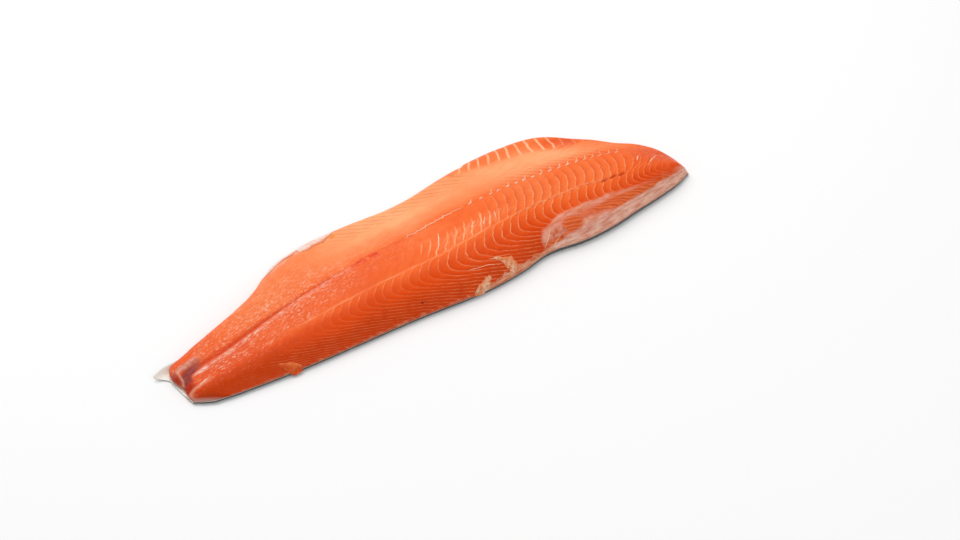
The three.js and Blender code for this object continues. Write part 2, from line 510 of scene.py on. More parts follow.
def septum_phase(at):
    """Number of the septum at each place: whole numbers lie on the septa, and it grows headward."""
    x, y = at.x, at.y
    shoulder, head = step(x, 20, 90), step(x, 130, 200)
    lean_inner = (1 - shoulder) * lean_inner_middle(at.inner) + shoulder * (
        (1 - head) * lean_inner_shoulder(at.inner) + head * lean_inner_head(at.inner))
    crossing = step(at.past_seam, -1.6, 1.0)
    lean = crossing * lean_inner + (1 - crossing) * lean_outer(at.outer)
    past_turn = 3 * np.log1p(np.exp(np.clip(at.past_turn / 3, -30, 30)))
    beyond = np.maximum(at.inside - past_turn, 0)
    lean = lean - 1.3 * beyond ** 2 / (beyond + 9) + past_turn * belly_fan_lean(x)
    wobble = 1.2 * lumps(x, y, 26, 11) + 0.7 * lumps(x, y, 9, 12)
    wobble = wobble + 0.9 * step(at.outer, 0.3, 0.6) * lumps(x, y, 5.5, 13)
    fan = step(beyond, 5, 50) * (x - 95) * -0.1
    return septum_count(x - lean + wobble + fan * step(x, 40, 100))


def tone_field(at):
    """Tone of the flesh: 0 low on the back, 0.5 between the seam and the spine line, 1 in the pale band."""
    x, y, inside, outer = at.x, at.y, at.inside, at.outer
    belly_side, past_seam = step(inside, -3, 18), step(at.past_seam, -8, 8)
    near_seam = step(at.past_seam, -5, 5)
    tone = 0.5 - 0.25 * step(outer, -0.05, 0.4) - 0.25 * step(outer, 0.4, 1.0)
    tone += 0.12 * belly_side * step(x, -300, -190)
    tone += 0.1 * belly_side * step(x, -120, -40)
    tone -= 0.22 * (1 - step(x, -240, -100)) * (1 - past_seam)
    band = (0.25 - 0.07 * step(x, 20, 80)) * window(inside, 27, 76 - 16 * step(x, 60, 110), 12)
    tone += band * step(x, -128, -22) * (1 - step(x, 195, 232))
    tone -= 0.16 * (1 - step(x, -290, -150)) * past_seam
    tone -= 0.24 * step(x, 235, 290) * past_seam
    tone -= 0.14 * step(at.past_turn, -2, 6) * step(x, 90, 130)
    tone -= 0.3 * oval(x, y, (212, 56), (18, 13), -30)
    middle = near_seam * (1 - step(inside, -5, 5))
    tone += middle * (0.12 * step(x, -50, 20) + 0.03 * step(x, 60, 100) - 0.08)
    tone -= 0.05 * step(x, 205, 235)
    tone += 0.07 * step(x, 40, 110) * (1 - near_seam)
    tone += 0.05 * bell(inside - 18, 14) * step(x, 0, 60)
    return np.clip(tone + 0.05 * lumps(x, y, 45, 31, 2), 0, 1)


def fat_fields(at):
    """The film of fat over the nape, with bare islands in it and a pale strip by the back edge."""
    x, y, fat = at.x, at.y, at.fat
    islands = np.clip(sum(strength * oval(x, y, *shape) for strength, *shape in ISLANDS), 0, 1)
    width = strip_width(x)
    strip = fat * (1 - step(at.from_back + 0.8 * lumps(x, y, 9, 23, 2), width, width + 2.2))
    return {
        "fat": fat * (1 - islands * (1 - strip)),
        "island": fat * islands * (1 - strip),
        "strip": strip,
    }


def septum_fields(at):
    """How strongly the septa show from place to place, as lines, dashes, stripes, relief, and the painted
    shade and highlight of the flakes between them.
    """
    x, y, inside, outer, bare = at.x, at.y, at.inside, at.outer, 1 - at.fat
    on_back = at.past_seam < 0
    shoulder = step(x, 62, 100)
    between = window(at.inner, 0, 0.92, 0.03) * (1 - 0.6 * step(at.inner, 0.55, 0.85))
    dashes = step(x, -30, 5) * (1 - step(at.inner, 0.32, 0.62))
    septa = between * np.maximum(shoulder * (0.75 + 0.35 * lumps(x, y, 11, 41)), dashes)
    reach = 0.1 + 0.16 * step(x, -50, 30)
    strokes = on_back * step(x, -175, -120) * (1 - step(outer, reach, reach + 0.17))
    strokes = strokes * (1 - 0.45 * step(x, 110, 130)) * (0.85 + 0.4 * lumps(x, y, 13, 44))
    beyond = (inside > 0) * step(x, 80, 150) * (1 - step(inside, 10, 26)) * 0.7
    flakes = on_back * step(x, -180, -110) * (0.6 + 0.4 * step(x, -30, 70)) * window(outer, 0.1, 0.68, 0.12)
    flakes = between * shoulder + 0.2 * between + flakes + beyond
    stripe = step(at.past_turn, -2, 6) * step(x, 90, 101) * (1 - 0.75 * step(x, 207, 216))
    stripe = stripe * bare * (0.85 + 0.2 * lumps(x, y, 9, 43))
    dash = window(at.inner, 0.05, 0.55, 0.05) * window(x, -12, 76, 8)
    return {
        "septa": np.clip(septa + strokes + beyond, 0, 1) * bare * (1 - 0.85 * at.head),
        "flake": np.clip(flakes, 0, 1) * bare * (1 - 0.7 * at.head),
        "fine": on_back * step(outer, 0.45, 0.75) * step(x, -280, -170) * bare,
        "dash": dash * (0.6 + 0.6 * lumps(x, y, 14, 42)),
        "brush": window(at.inner, 0.08, 0.42, 0.12) * window(x, 12, 92, 16) * 0.8,
        "stripe": stripe,
        "stripe_count": (x - 103 - (y - 80) * belly_fan_lean(x)) / 12.1 + 0.09 * lumps(x, y, 12, 45, 2),
        "belly_line": step(inside, 34, 54) * window(x, -70, 104, 14) * (1 - stripe),
    }


def tail_fields(at):
    """What the lifted backbone left: furrow, silver line, red patches and blood at the tail, and where the
    wet flesh there is painted with glints.
    """
    x, y, inside = at.x, at.y, at.inside
    furrow = bell(inside - 4.5 + 2.5 * step(x, -215, -150), 4.0 - 2.2 * step(x, -230, -150))
    crease = 0.6 * bell(inside - 0.8, 0.9) * window(x, -120, 5, 10)
    red = window(x, -79, -42, 6) * bell(inside + 1.5, 4.6)
    red = red + 0.8 * window(x, -105, 4, 10) * bell(inside + 0.8, 1.6)
    silver = bell(inside + 2.2 + lumps(x, y, 14, 53), 3.0) * window(x, -264, -84, 14)
    tail = (1 - step(x, -190, -40)) * (0.4 + 0.6 * step(x, -272, -238))
    # Where the wet flesh gets a painted sheen and painted glints, and a rougher grain.
    wet = tail * bell(inside - 6, 46) * (0.15 + 0.85 * step(at.past_seam, -9, 5))
    wet = wet + 0.3 * window(inside, -25, 25, 10) * (1 - step(x, -60, 60))
    blood = blob(x, y, (-278, -45), (14, 5.6), 26) + 0.9 * blob(x, y, (-285, -53), (4.5, 5.5))
    lobes = blob(x, y, (-294.5, -43), (6, 8)) + blob(x, y, (-289, -62), (7, 6.5))
    seam_sheet = bell(at.past_seam - 1.5 + 0.12 * (x + 290), 1.3) * (1 - step(x, -275, -262))
    notch_sheet = bell(x + 288.2 + 0.4 * np.maximum(-50 - y, 0), 0.9) * window(y, -57, -37, 2)
    return {
        "furrow": furrow * window(x, -268, -100, 10) * (1 - 0.4 * step(x, -190, -110)),
        "crease": crease + 0.5 * bell(inside, 0.8) * window(x, 40, 240, 10),
        "red": red * step(lumps(x, y, 5, 51, 2), -0.6, 0.3),
        "silver": silver * (0.75 + 0.25 * step(x, -250, -225) - 0.35 * step(x, -215, -110)),
        "wet": np.clip(wet, 0, 1),
        "blood": np.clip(blood, 0, 1),
        "film": blob(x, y, (-277, -36), (14, 3.8), 10) * (1 - blood),
        "lobe": np.clip(lobes, 0, 1),
        "sheet": np.clip(0.7 * seam_sheet + 0.8 * notch_sheet, 0, 1),
        "gleam": blob(x, y, (-269, -51.5), (7.5, 2.0), 6),
    }


def small_fields(at):
    """The seam's pale rope, the pin-bone slits, specks, rims, and hazes on the belly wall."""
    x, y = at.x, at.y
    slots = sum(blob(x, y, centre, (5.0, 1.4), 14) for centre in PIN_BONE_SLOTS)
    slits = sum(blob(x, y, (place, seam_line(place) - 0.9), (3.4, 0.8), 18) for place in PIN_BONE_SLITS)
    vessels = sum(oval(x, y, centre, (2.2, 0.9), 60) for centre in VESSELS)
    trim = 0.3 + 1.6 * window(x, 24, 108, 12)
    rim = 1 - step(at.from_back + 0.8 * trim * lumps(x, y, 7, 71, 2), trim, trim + 1.2)
    return {
        "rope": bell(at.past_seam, 0.7) * window(x, -165, 205, 18) * (0.8 + 0.3 * lumps(x, y, 8, 61)),
        "slots": np.clip(slots + 0.55 * slits, 0, 1),
        "spot": blob(x, y, (-45, -84), (1.1, 0.8)),
        "dot": oval(x, y, (-65, 57), (3.5, 2.0), 35),
        "vessel": np.clip(vessels, 0, 1),
        "rim": np.maximum(rim, 0.6 * (1 - step(at.from_belly, 0.6, 2.0))),
        "head": at.head,
        "membrane": window(x, -150, -64, 8) * step(at.from_belly + 2.5 * lumps(x, y, 9, 91, 2), 17, 5),
        "haze": window(x, 128, 225, 22) * window(at.inside, 12, 46, 10),
    }


def flesh_fields(x, y, back, belly):
    """Everything that the relief and the material read: masks from 0 to 1, and the two counts."""
    at = FleshPlaces(x, y, back, belly)
    return {
        "phase": septum_phase(at), "tone": tone_field(at),
        **fat_fields(at), **septum_fields(at), **tail_fields(at), **small_fields(at),
    }


def flesh_relief(x, y, fields, settings):
    """Height added to the smooth solid, in millimetres."""
    flake = settings.flake_relief / MM
    phase = fields["phase"]
    share = phase - np.floor(phase)
    swell = np.sin(np.pi * share) ** 0.8 * (0.55 + 0.45 * share)
    shown = np.clip(fields["flake"] + 0.3 * fields["belly_line"] + 0.25 * fields["fine"], 0, 1)
    height = flake * (swell - 0.6) * shown
    near_stripe = np.abs(fields["stripe_count"] - np.round(fields["stripe_count"]))
    height = height + 0.4 * fields["stripe"] * (step(0.2 - near_stripe, 0, 0.12) - 0.4)
    height = height - settings.furrow_depth / MM * fields["furrow"] - 0.5 * fields["crease"]
    height = height + 0.5 * fields["silver"] - 1.1 * fields["slots"] + 0.3 * fields["rope"]
    height = height + 0.6 * fields["fat"] * (0.7 + 0.4 * lumps(x, y, 10, 81, 2)) + 0.35 * fields["strip"]
    height = height + 0.5 * fields["film"] + 0.5 * fields["sheet"] - 1.6 * fields["blood"]
    height = height + 0.45 * lumps(x, y, 60, 82, 2) + 0.12 * lumps(x, y, 12, 83)
    along, across = x + 0.25 * y, y - 0.25 * x
    return height + 0.28 * fields["wet"] * lumps(along / 2.2, across, 2.6, 84, 2)


# ---- Meshes --------------------------------------------------------------------------------------

def add_object(name, data):
    """A new object in the scene."""
    item = bpy.data.objects.new(name, data)
    bpy.context.scene.collection.objects.link(item)
    return item


def new_object(name, points, faces):
    """A mesh object from points in millimetres."""
    mesh = bpy.data.meshes.new(name)
    mesh.from_pydata((np.asarray(points) * MM).tolist(), [], faces)
    mesh.update()
    mesh.shade_smooth()
    return add_object(name, mesh)


def set_field(item, name, values):
    """A number at each point, for the material to read."""
    attribute = item.data.attributes.new(name, "FLOAT", "POINT")
    attribute.data.foreach_set("value", np.asarray(values, np.float32).ravel())


def tube_faces(rings, size, halves=False):
    """Faces of a closed tube of rings of `size` points. Its ends are filled with one face each, or
    with a strip between the two halves of the ring."""
    faces = []
    for r in range(rings - 1):
        for k in range(size):
            a, b = r * size + k, r * size + (k + 1) % size
            faces.append((a, b, b + size, a + size))
    last = (rings - 1) * size
    if not halves:
        faces.append(tuple(range(size - 1, -1, -1)))
        faces.append(tuple(range(last, last + size)))
        return faces
    for k in range(size // 2 - 1):
        quad = (k, k + 1, size - 2 - k, size - 1 - k)
        faces.append(quad[::-1])
        faces.append(tuple(last + corner for corner in quad))
    return faces


def lay_out(item, rings, size, columns):
    """Fills the bake's UV map: the flesh side in two long strips, and the rest in two thin ones."""
    layer = item.data.uv_layers.new(name="OFBake")
    count = len(item.data.loops)
    loop_vertex = np.zeros(count, np.int32)
    item.data.loops.foreach_get("vertex_index", loop_vertex)
    loop_face = np.repeat(np.arange(len(item.data.polygons)), [p.loop_total for p in item.data.polygons])
    face_ring, face_column = loop_face // size, loop_face % size
    ring, column = loop_vertex // size, loop_vertex % size
    column = np.where((column == 0) & (face_column == size - 1), size, column)
    half = rings // 2
    head = face_ring >= half
    u = np.where(head, ring - half, ring) / (half + 1)
    top = face_column >= size - columns
    v = np.where(top, (column - (size - columns)) / columns, column / (size - columns))
    low = np.where(top, np.where(head, 0.51, 0.04), np.where(head, 0.985, 0.002))
    tall = np.where(top, 0.46, 0.012)
    uv = np.stack([0.003 + 0.985 * u, low + tall * v], 1).astype(np.float32)
    # The two end faces come last, and share a small oval at the side of the map.
    ends = 4 * (rings - 1) * size
    angle = np.linspace(0, 2 * np.pi, count - ends, endpoint=False)
    uv[ends:, 0] = 0.994 + 0.003 * np.cos(angle)
    uv[ends:, 1] = 0.5 + 0.02 * np.sin(angle)
    layer.data.foreach_set("uv", uv.ravel())


def curl_points(edge, inwards, curl, wall, shares):
    """Points (y, z) round a curled edge, at shares of the way from its rim to its flat side.
    `inwards` is 1 or -1, and `wall` moves the points in from the outer face of the skin."""
    width, height = curl
    points = []
    for share in shares:
        turn = share * math.pi / 2
        across = wall + (width - wall) * (1 - math.cos(turn))
        points.append((edge + inwards * across, wall + (height - wall) * (1 - math.sin(turn))))
    return points


def edge_curls(x, span):
    """Width and height of the skin's curl at the back and at the belly edge, near station x."""
    narrow = min(1.0, span / 60)
    height = float(back_rim_height(x))
    flat_flap = 0.25 + 0.75 * float(step(x, -300, -268))
    return (2.8 * narrow, height), (4.5 * narrow, 1.9 * min(1.0, height / 4) * flat_flap)


def corner_lift(pull, share):
    """Height of the loose corner of skin at the tail, at a share of the way from back to belly."""
    return CORNER_LIFT * pull * step(share, 0.72, 1) ** 2


def flesh_mesh(settings, skin):
    """The flesh as one closed mesh: a fine flesh side and a plain underside that fits the skin."""
    stations, columns = settings.stations, settings.columns
    wall = skin.thickness / MM
    tail, head = solid.low[0] + FLESH_START, solid.high[0] - FLESH_STOP
    x0 = np.linspace(tail, head, stations)
    even = np.linspace(0, 1, columns + 1)
    shares = 0.42 * even + 0.58 * (0.5 - 0.5 * np.cos(np.pi * even))
    back, belly = solid.back(x0)[:, None], solid.belly(x0)[:, None]
    near_tail = (1 - step(x0, -292, -254))[:, None]
    tail_inset = near_tail * (8.0 * (1 - shares[None, :]) ** 3 - TAIL_INSET * shares[None, :] ** 3)
    y = back + wall + tail_inset + shares[None, :] * (belly - back - 2 * wall)
    x = x0[:, None] + (1 - step(x0, tail, tail + 34))[:, None] * (tail_line(y) - tail)
    z = np.array([[solid.top(float(a), float(b)) for a, b in zip(*row)] for row in zip(x, y)])
    edge_z = z[:, [0, -1]].copy()
    z = blurred(blurred(z, 5.0, 0), 2.0, 1)
    z[:, [0, -1]] = edge_z
    fields = flesh_fields(x, y, solid.back(x), solid.belly(x))
    inset = step(np.minimum(y - back, belly - y), 1.5, 7)
    z = z + inset * flesh_relief(x, y, fields, settings)

    # The flesh side lies nowhere below this floor, which rises to the skin's curled edges.
    rims = [edge_curls(s, w) for s, w in zip(x0, (belly - back)[:, 0])]
    rim_back = np.array([back_curl[1] for back_curl, _ in rims])
    rim_belly = np.array([belly_curl[1] for _, belly_curl in rims])
    floor = np.interp(shares, [0, 0.04, 0.5, 0.97, 1], [1, 0.3, 0, 0.3, 0])[None, :] * rim_back[:, None]
    floor = np.maximum(floor, shares[None, :] ** 12 * rim_belly[:, None]) + wall
    lift = corner_lift(1 - step(x, -302, -269), (y - back) / (belly - back))
    floor = floor + lift
    # Both cut ends round over: the tail's over a length that shrinks at the notch, and the head's.
    rise = np.clip((x - (x[0][None, :] - 0.5)) / (9 + 3 * bell(y + 55, 7)), 0, 1)
    rise = np.sqrt(1 - (1 - rise) ** 2) * 0.92 + 0.08
    drop = np.clip((x[-1][None, :] + 0.4 - x) / 13, 0, 1)
    drop = np.sqrt(1 - (1 - drop) ** 2) * 0.8 + 0.2
    z = floor + np.maximum(z - floor, 0.3) * rise * drop
    z[:, 0], z[:, -1] = rim_back, rim_belly + lift[:, -1]

    turns = np.linspace(0, 1, 5)[1:]
    under = []
    for i in range(stations):
        back_curl, belly_curl = rims[i]
        ring = curl_points(back[i, 0], 1, back_curl, wall, turns)
        ring += curl_points(belly[i, 0], -1, belly_curl, wall, turns[::-1])
        for k, (across, height) in enumerate(ring):
            share = (k + 1) / (len(ring) + 1)
            along = x[i, 0] * (1 - share) + x[i, -1] * share + 1.5 * near_tail[i, 0]
            if k >= len(turns):
                across, height = across - TAIL_INSET * near_tail[i, 0], height + lift[i, -1]
            ring[k] = (along, across, height)
        under.append(ring)
    under = np.array(under)
    hidden = under.shape[1]
    top = np.stack([x, y, z], 2)[:, ::-1]
    points = np.concatenate([under, top], 1)
    size = points.shape[1]
    item = new_object("flesh", points.reshape(-1, 3), tube_faces(stations, size))
    for name, values in fields.items():
        whole = np.zeros((stations, size))
        whole[:, hidden:] = values[:, ::-1]
        if name == "phase":
            whole[:, :hidden] = values[:, :1]
        set_field(item, name, whole)
    tail_rim = np.zeros((stations, size))
    tail_rim[:, :len(turns)] = near_tail
    set_field(item, "tail_rim", tail_rim)
    lay_out(item, stations, size, columns)
    return item


def skin_face(back, belly, curls, inset):
    """Points (y, z) across one face of the skin, from the back to the belly."""
    back_curl, belly_curl = curls
    middle = np.linspace(back + back_curl[0], belly - belly_curl[0], SKIN_COLUMNS)
    points = curl_points(back, 1, back_curl, inset, np.linspace(0, 1, SKIN_TURNS))
    points += [(y, inset) for y in middle[1:-1]]
    return points + curl_points(belly, -1, belly_curl, inset, np.linspace(1, 0, SKIN_TURNS))


def skin_mesh(settings):
    """The skin as a thin closed shell under the flesh, curled up at both edges."""
    start = solid.low[0] + SKIN_START
    corner_end = start + CORNER_LENGTH
    x0 = np.concatenate([np.linspace(start, corner_end, CORNER_STATIONS),
                         np.linspace(corner_end, solid.high[0], SKIN_STATIONS - CORNER_STATIONS + 1)[1:]])
    rings, outside, across = [], [], []
    for station in x0:
        edge, belly = float(solid.back(station)), float(solid.belly(station))
        back = edge - 3.2 * bell(station + 281, 9)
        curls = edge_curls(station, belly - back)
        outer = skin_face(back, belly, curls, 0.0)
        inner = skin_face(back, belly, curls, settings.thickness / MM)
        pull = 1 - float(step(station, start, corner_end))
        ring = []
        for y, z in outer + inner[::-1]:
            share = (y - back) / (belly - back)
            shift = pull * (solid.tail_end(min(max(y, edge + 0.6), belly - 0.6)) - start)
            ring.append((station + shift, y, z + float(corner_lift(pull, share))))
            across.append(share)
        rings.append(ring)
        # Scales are raised in full on the flat underside, and barely on the curled edges.
        outside += [0.1 if z > 0.05 else 1.0 for y, z in outer] + [0.0] * len(inner)
    faces = [face[::-1] for face in tube_faces(len(rings), len(rings[0]), True)]
    item = new_object("skin", np.array(rings).reshape(-1, 3), faces)
    set_field(item, "outside", outside)
    set_field(item, "across", across)
    return item


def strip_mesh(name, path, widths, lift, drape, root, seed):
    """A thin scrap, like a tongue with ragged edges, draped along a path over the flesh. `root` is
    the side of the path, 1 or -1, on which it grows out of the flesh."""
    rows, columns = 30, 10
    path = np.array(path, float)
    places = np.linspace(0, 1, len(path))
    share = np.linspace(0, 1, rows)
    middle = np.stack([blurred(np.interp(share, places, path[:, k]), 1.5, 0) for k in (0, 1)], 1)
    half = np.interp(share, places, widths)
    rise = np.interp(share, places, lift)
    along = np.gradient(middle, axis=0)
    along /= np.linalg.norm(along, axis=1)[:, None]
    side = np.stack([-along[:, 1], along[:, 0]], 1)
    across = np.linspace(-1, 1, columns)
    rings = []
    for r in range(rows):
        ragged = 1 + 0.34 * lumps(share[r] * 60, across * 6, 9, seed, 2)
        flat = middle[r] + side[r] * (across * half[r] * ragged)[:, None]
        height = np.array([drape(x, y) for x, y in flat]) + rise[r] * (0.5 + 0.5 * across ** 2)
        height = height + 0.25 * lumps(flat[:, 0], flat[:, 1], 5, seed + 1)
        swell = 0.35 + 0.65 * math.sin(math.pi * share[r]) ** 0.5
        thin = SCRAP_THICKNESS * np.sqrt(1 - across ** 2 * 0.96) * swell
        top = np.column_stack([flat, height + thin])
        bottom = np.column_stack([flat, height - 0.2])[::-1]
        rings.append(np.concatenate([bottom, top]))
    item = new_object(name, np.array(rings).reshape(-1, 3), tube_faces(rows, 2 * columns, True))
    outer = np.tile(np.concatenate([across[::-1], across]), rows)
    set_field(item, "inner", np.clip(-outer * root, 0, 1))
    return item


def thread_mesh(name, strokes):
    """Bare edges along strokes of points, each with its own thickness, for a tree to build on."""
    points, edges, sizes = [], [], []
    for stroke, size in strokes:
        for k, point in enumerate(stroke):
            if k:
                edges.append((len(points) - 1, len(points)))
            points.append(Vector(point) * MM)
            sizes.append(size)
    mesh = bpy.data.meshes.new(name)
    mesh.from_pydata(points, edges, [])
    item = add_object(name, mesh)
    set_field(item, "size", sizes)
    return item


def flesh_drape():
    """A function that gives the flesh's height in millimetres at (x, y)."""
    flesh = bpy.data.objects.get("flesh")
    if flesh is None:
        raise RuntimeError("The flesh is made first")
    vertices = [v.co for v in flesh.data.vertices]
    tree = BVHTree.FromPolygons(vertices, [p.vertices for p in flesh.data.polygons])

    def drape(x, y):
        hit = tree.ray_cast(Vector((x * MM, y * MM, 1)), Vector((0, 0, -1)))[0]
        if hit is None:
            near = tree.find_nearest(Vector((x * MM, y * MM, 0.004)))[0]
            return near.z / MM - 0.5 * math.hypot(x - near.x / MM, y - near.y / MM)
        return hit.z / MM
    return drape


def spine_strokes(drape):
    """Flecks where the septa end along the spine line, as strokes: a zigzag near the tail, then
    single flecks with a faint branch towards the belly."""
    def laid(points):
        return [(x, y, drape(x, y)) for x, y in points]

    rng = np.random.default_rng(5)
    strokes, zigzag = [], []
    for number, x in enumerate(SPINE_FLECKS):
        level = float(spine_line(x)) + 0.3
        jog = rng.uniform(-0.5, 0.5, 6)
        if x < ZIGZAG_END:
            zigzag += [(x - 3.4, level - 0.2 + jog[0]), (x - 0.6, level - 0.7)]
            zigzag += [(x + 1.4, level + 1.9 + jog[1]), (x + 3.4, level + 0.9 + jog[2])]
            continue
        fade = float(1 - step(x, 150, 240))
        fleck = [(x - 3 + jog[1], level - 0.9), (x, level), (x + 2.4, level + 0.3 + jog[2])]
        strokes.append((laid(fleck), 0.75 + 0.75 * fade + 0.3 * jog[0]))
        if number % 2 or x > 150:
            tip = (x + 5 + jog[3], level + 7.5 + 2 * jog[4])
            branch = [(x + 1.5, level + 0.2), (x + 3, level + 3.5), tip]
            strokes.append((laid(branch), 0.45 + 0.2 * fade))
    strokes.append((laid(zigzag), 0.85))
    return strokes + [(laid(points), size) for points, size in LOOSE_THREADS]


# ---- Node sketches -------------------------------------------------------------------------------

class Sketch:
    """Adds nodes to a tree in few words."""

    def __init__(self, tree):
        self.tree = tree

    def add(self, kind, inputs=None, **settings):
        """A node of a kind, with its settings, and inputs by name or number."""
        node = self.tree.nodes.new(kind)
        for name, value in settings.items():
            setattr(node, name, value)
        self.feed(node, inputs or {})
        return node

    def feed(self, node, inputs):
        """Links a node's inputs, or sets them to plain values."""
        for name, value in inputs.items():
            socket = node.inputs[name]
            if isinstance(value, bpy.types.NodeSocket):
                self.tree.links.new(value, socket)
            elif socket.type == "RGBA":
                socket.default_value = (*value, 1)
            else:
                socket.default_value = value

    def math(self, operation, *values):
        """One step of arithmetic on up to three numbers."""
        return self.add("ShaderNodeMath", dict(enumerate(values)), operation=operation).outputs[0]

    def swing(self, noise, amount):
        """Noise from 0 to 1 turned into a swing about 0, `amount` from end to end."""
        return self.math("MULTIPLY", self.math("SUBTRACT", noise, 0.5), amount)

    def scaled(self, value, low, high, to_low=0.0, to_high=1.0):
        """The value's way from low to high, smoothed, between two other numbers."""
        return self.add("ShaderNodeMapRange", {
            "Value": value, "From Min": low, "From Max": high, "To Min": to_low, "To Max": to_high,
        }, interpolation_type="SMOOTHSTEP").outputs["Result"]

    def mix(self, share, first, second):
        """One colour laid over another by a share; the colours are the node's inputs 6 and 7."""
        inputs = {"Factor": share, 6: first, 7: second}
        return self.add("ShaderNodeMix", inputs, data_type="RGBA").outputs[2]

    def layered(self, base, layers):
        """Colours laid over a base in turn. Each has a field or a share, an amount and the colour."""
        for share, amount, value in layers:
            if isinstance(share, str):
                share = self.field(share)
            base = self.mix(self.math("MULTIPLY", share, amount), base, value)
        return base

    def ramp(self, share, stops):
        """A colour ramp through (place, colour) pairs."""
        node = self.add("ShaderNodeValToRGB", {"Fac": share})
        elements = node.color_ramp.elements
        for index, (place, value) in enumerate(stops):
            element = elements[index] if index < 2 else elements.new(place)
            element.position, element.color = place, (*value, 1)
        return node.outputs[0]

    def field(self, name):
        """A number that the mesh carries."""
        return self.add("ShaderNodeAttribute", attribute_name=name).outputs["Fac"]

    def place(self, stretch=1.0, turn=0.0):
        """Object coordinates in millimetres, longer by `stretch` along a direction turned from x."""
        source = self.add("ShaderNodeTexCoord").outputs["Object"]
        return self.add("ShaderNodeMapping", {
            "Vector": source, "Rotation": (0, 0, math.radians(turn)), "Scale": (stretch * MM, MM, MM),
        }, vector_type="TEXTURE").outputs["Vector"]

    def noise(self, cell, detail=2.0, rough=0.5, place=None, contrast=None):
        """Noise from 0 to 1 with lumps about `cell` millimetres across."""
        noise = self.add("ShaderNodeTexNoise", {
            "Vector": place or self.place(), "Scale": 1 / cell, "Detail": detail, "Roughness": rough,
        }).outputs[0]
        return self.scaled(noise, *contrast) if contrast else noise

    def bump(self, height, strength, distance):
        """A normal from a height, with the bump's depth in millimetres."""
        return self.add("ShaderNodeBump", {
            "Height": height, "Strength": strength, "Distance": distance * MM,
        }).outputs[0]


def new_material(name):
    """An empty node material, and its sketch and shader."""
    material = bpy.data.materials.new(name)
    material.use_nodes = True
    material.node_tree.nodes.clear()
    sketch = Sketch(material.node_tree)
    shader = sketch.add("ShaderNodeBsdfPrincipled")
    sketch.add("ShaderNodeOutputMaterial", {"Surface": shader.outputs[0]})
    return material, sketch, shader


# ---- Materials -----------------------------------------------------------------------------------
# A noise's first number is the size of its lumps in millimetres, and a layer's is its strength.

def septum_layers(s, base, settings):
    """The septa, and the painted shade and highlight across each flake between them, over the flesh's plain
    colour.
    """
    phase = s.math("ADD", s.field("phase"), s.swing(s.noise(6, 2), 0.3))
    saw = s.math("FRACT", phase)
    near = s.math("PINGPONG", phase, 0.5)
    beside = s.math("PINGPONG", s.field("stripe_count"), 0.5)
    broken = s.noise(7, 3, 0.6, contrast=(0.28, 0.62))
    line = s.math("MULTIPLY", s.scaled(near, 0.015, 0.085, 0.62, 0.0), broken)
    fine_line = s.math("MULTIPLY", s.scaled(near, 0.02, 0.2, 0.24, 0.0), broken)
    return s.layered(base, [
        # Painted shade and highlight on each flake: darker just headward of a septum, lighter just before
        # the next one.
        ("flake", s.scaled(saw, 0.05, 0.7, 0.38, 0.0), settings.deep_and_shade),
        ("flake", s.scaled(saw, 0.72, 0.98, 0.0, 0.1), settings.septum),
        ("brush", s.noise(1.7, 3, 0.6, s.place(5.0, 48), (0.35, 0.95)), settings.septum),
        ("septa", line, settings.septum),
        ("dash", s.scaled(near, 0.04, 0.13, 0.75, 0.0), MARKS["dash"]),
        ("fine", s.scaled(near, 0.05, 0.4, 0.0, 0.2), settings.deep_and_shade),
        ("fine", fine_line, settings.septum),
        ("belly_line", s.scaled(near, 0.05, 0.22, 0.26, 0.0), settings.deep_and_shade),
        ("stripe", s.scaled(beside, 0.06, 0.15, 0.9, 0.0), settings.stripe),
        ("rope", 0.55, settings.septum),
        ("haze", s.noise(2.5, 3, 0.6, s.place(8.0, 12), (0.3, 0.9)), settings.septum),
    ])


def tail_layers(s, base, settings):
    """Painted sheen and glints on the wet flesh, and the furrow, blood and membranes where the backbone was
    lifted out.
    """
    grain = s.noise(1.5, 4, 0.7, s.place(2.8, 18))
    grain = s.math("MULTIPLY_ADD", s.math("SUBTRACT", s.noise(7, 2), 0.5), 0.28, grain)
    sparkle = s.noise(2.2, 3, 0.75, s.place(2.4, 16), (0.42, 0.64))
    veiled = s.noise(3.5, 4, 0.65, s.place(2.5, 30), (0.3, 0.65))
    old_blood = s.mix(s.noise(7, 2, contrast=(0.3, 0.7)), settings.blood, MARKS["old_blood"])
    film = s.mix(s.noise(4, 3, contrast=(0.35, 0.65)), MARKS["film"], MARKS["film_pale"])
    gleam = s.mix(s.noise(2.5, 3, contrast=(0.4, 0.6)), MARKS["gleam"], MARKS["gleam_pale"])
    streaks = s.noise(1.6, 3, 0.65, s.place(7.0, 40), (0.5, 0.75))
    return s.layered(base, [
        ("wet", s.scaled(grain, 0.30, 0.47, 0.3, 0.0), settings.deep_and_shade),
        # A painted sheen over the wet flesh, then painted glints in the fleck colour.
        ("wet", 0.04, MARKS["wet"]),
        ("wet", s.scaled(grain, 0.51, 0.70, 0.0, 0.85), settings.fleck),
        ("furrow", 0.9, MARKS["furrow"]),
        ("crease", 0.45, settings.deep_and_shade),
        ("slots", 0.85, MARKS["slot"]),
        ("red", s.scaled(s.noise(2.2, 3), 0.35, 0.65, 0.2, 0.85), MARKS["red"]),
        # The pale membrane along the lifted backbone, laid on in broken spots as painted glints.
        ("silver", s.math("MULTIPLY", sparkle, 0.95), MARKS["silver"]),
        ("lobe", 0.92, MARKS["lobe"]),
        ("membrane", s.math("MULTIPLY", veiled, 0.85), MARKS["membrane"]),
        ("blood", 1.0, old_blood),
        ("film", 0.85, film),
        ("sheet", 0.85, MARKS["sheet"]),
        ("gleam", 0.9, gleam),
        ("head", s.math("MULTIPLY", streaks, 0.22), settings.septum),
    ])


